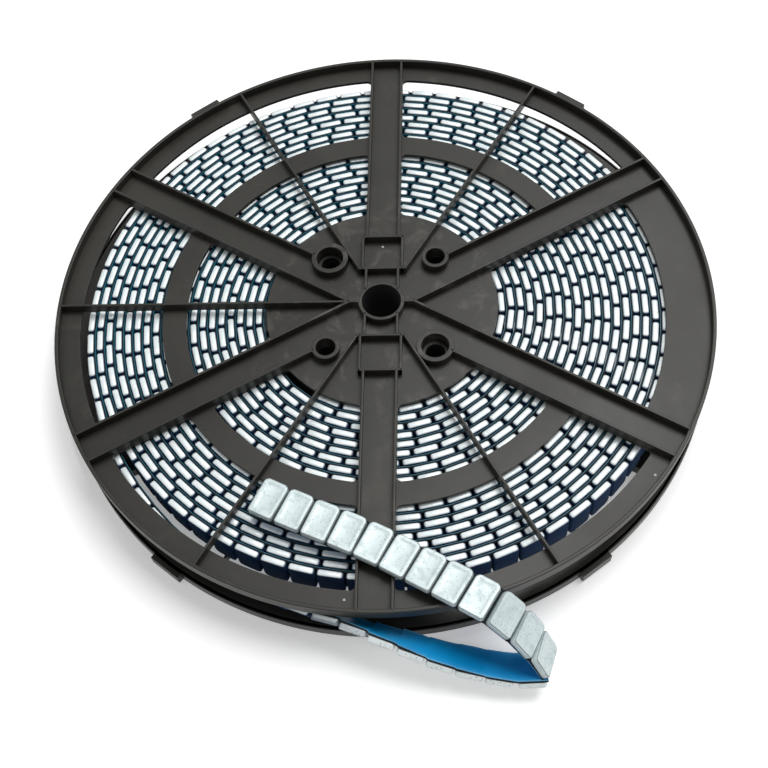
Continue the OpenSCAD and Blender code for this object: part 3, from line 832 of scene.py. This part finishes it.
def film(material_):
    """The release liner under the foam: a thin film, set back between the turns of the roll. Up to the
    doubled fold its far edge stands out by a sum of slow and quick waves along its length, and both
    edges curl away from the foam by another wave."""
    place, across, depth, grid = strip_sections(8)
    along = np.concatenate([[0], np.cumsum(np.linalg.norm(np.diff(place, axis=0), axis=1))])
    loose = looseness(grid)
    lying = place[:, 2] > REEL_H
    wound_half = WEIGHT_W / 2 - FILM_BACK
    before_fold = np.clip((2 * BACK_COUNT + 1 - grid) / 4, 0, 1)
    wave = 0.2 * np.sin(along / 4.1 + 1) + 0.05 * np.sin(along / 1.4)
    left = wound_half + loose * (0.15 + before_fold * (0.75 + wave))
    right = wound_half + loose * (0.22 + 0.06 * np.sin(along / 3.2))
    curl = np.where(lying, 0.0, loose) * (0.14 + 0.14 * np.sin(along / 4.3))
    shares = np.array([-1, -0.94, -0.86, -0.5, 0, 0.5, 0.86, 0.94, 1])
    lift = np.array([1, 0.45, 0, 0, 0, 0, 0, 0.45, 1])
    side = np.where(shares < 0, shares * left[:, None], shares * right[:, None])
    top = TAPE_T + lift * curl[:, None]
    bottom = top + LINER_T
    outline = np.stack([np.hstack([side, side[:, ::-1]]), np.hstack([top, bottom[:, ::-1]])], -1)
    made = piece("liner_blue", [loft(layer_rings(place, across, depth, outline))], material_,
                 ["release_liner"])
    edge = np.tile(np.concatenate([np.abs(shares), np.abs(shares[::-1])]) ** 14, len(place))
    set_points(made, "edge", edge)
    # Painted shade: marks the film that lies in the roll, where its material darkens it.
    set_points(made, "wound", np.repeat(1 - loose, 2 * len(shares)))


# ---- camera, floor and light ----


# The room's light on the part, the floor's own light where it is seen, and its half width in metres.
ROOM_LIGHT, FLOOR_GLOW, FLOOR_REACH = 0.36, 0.30, 6.0


def photo_camera():
    """The photograph's camera, from its target, distance, azimuth, elevation and roll."""
    target, distance = Vector((2.7, -71.76, 31.4)) * MM, 0.55977
    azimuth, elevation, roll = (math.radians(v) for v in (6.874, 61.232, -6.597))
    level = math.cos(elevation)
    back = Vector((math.sin(azimuth) * level, -math.cos(azimuth) * level, math.sin(elevation)))
    right = (-back).cross(Vector((0, 0, 1))).normalized()
    up = right.cross(-back)
    x = right * math.cos(roll) + up * math.sin(roll)
    y = up * math.cos(roll) - right * math.sin(roll)
    camera = bpy.data.objects.new("photo_camera", bpy.data.cameras.new("photo_camera"))
    camera.data.lens, camera.data.sensor_width = 57.32, 36.0
    camera.data.shift_y = 0.06
    camera.data.clip_start, camera.data.clip_end = 0.01, 50
    turn = Matrix((x, y, back)).transposed().to_4x4()
    camera.matrix_world = Matrix.Translation(target + back * distance) @ turn
    bpy.context.scene.collection.objects.link(camera)
    bpy.context.scene.camera = camera


def lamp(name, place, target, size, power):
    """A square soft lamp that faces a target, in metres and watts."""
    data = bpy.data.lights.new(name, "AREA")
    data.size, data.energy = size, power
    made = bpy.data.objects.new(name, data)
    made.location = place
    made.rotation_euler = (Vector(target) - Vector(place)).to_track_quat("-Z", "Y").to_euler()
    bpy.context.scene.collection.objects.link(made)


def seen_directly(tree):
    """One for a ray that shows the background, straight or in a reflection, and nought for light."""
    path = tree.nodes.new("ShaderNodeLightPath")
    seen = math_of(tree, "MAXIMUM", path.outputs["Is Camera Ray"], path.outputs["Is Glossy Ray"])
    return math_of(tree, "MAXIMUM", seen, path.outputs["Is Transmission Ray"])


def studio():
    """A pale floor in a plain white room, and a large lamp behind the part and to the right."""
    floor_paint, tree, shader, place = material("floor_paint", Roughness=0.9, Specular_IOR_Level=0.1)
    speckle = set_group(tree, PATCHES, place, Scale=3.0, Low=0.3, High=0.7)
    paint = mixed(tree, speckle, (0.93, 0.93, 0.93), (0.95, 0.95, 0.945))
    tree.links.new(paint, shader.inputs["Base Color"])
    glow = ranged(tree, seen_directly(tree), 0.0, FLOOR_GLOW)
    tree.links.new(glow, shader.inputs["Emission Strength"])
    shader.inputs["Emission Color"].default_value = (1, 1, 1, 1)
    mesh = bpy.data.meshes.new("floor")
    r = FLOOR_REACH
    mesh.from_pydata([(-r, -r, 0), (r, -r, 0), (r, r, 0), (-r, r, 0)], [], [(0, 1, 2, 3)])
    mesh.materials.append(floor_paint)
    floor = bpy.data.objects.new("floor", mesh)
    bpy.context.scene.collection.objects.link(floor)
    world = bpy.data.worlds.new("white_room")
    bpy.context.scene.world = world
    world.use_nodes = True
    world.node_tree.nodes.clear()
    tree = world.node_tree
    strength = ranged(tree, seen_directly(tree), ROOM_LIGHT, 1.0)
    sky = add(tree, "ShaderNodeBackground", {"Color": (1, 1, 1, 1), "Strength": strength})
    out = tree.nodes.new("ShaderNodeOutputWorld")
    tree.links.new(sky.outputs[0], out.inputs["Surface"])
    lamp("key", (1.05, 1.25, 3.5), (0, 0, 0), 2.2, 112.0)


photo_camera()
studio()
reel(reel_plastic(), painted_glint_plastic())
pale, middling = (0.84, 0.90, 0.91), (0.62, 0.71, 0.72)
weights(weight_coating("coil_coating", pale, (0.70, 0.78, 0.80), (0.05, 0.065, 0.07), 0.08),
        weight_coating("lower_coating", pale, (0.74, 0.81, 0.82), (0.10, 0.12, 0.12), 0.5),
        weight_coating("upper_coating", middling, (0.50, 0.59, 0.605), (0.28, 0.34, 0.35), 0.6))
foam(tape_foam())
film(liner_film())
bpy.context.scene.view_settings.view_transform = "Standard"
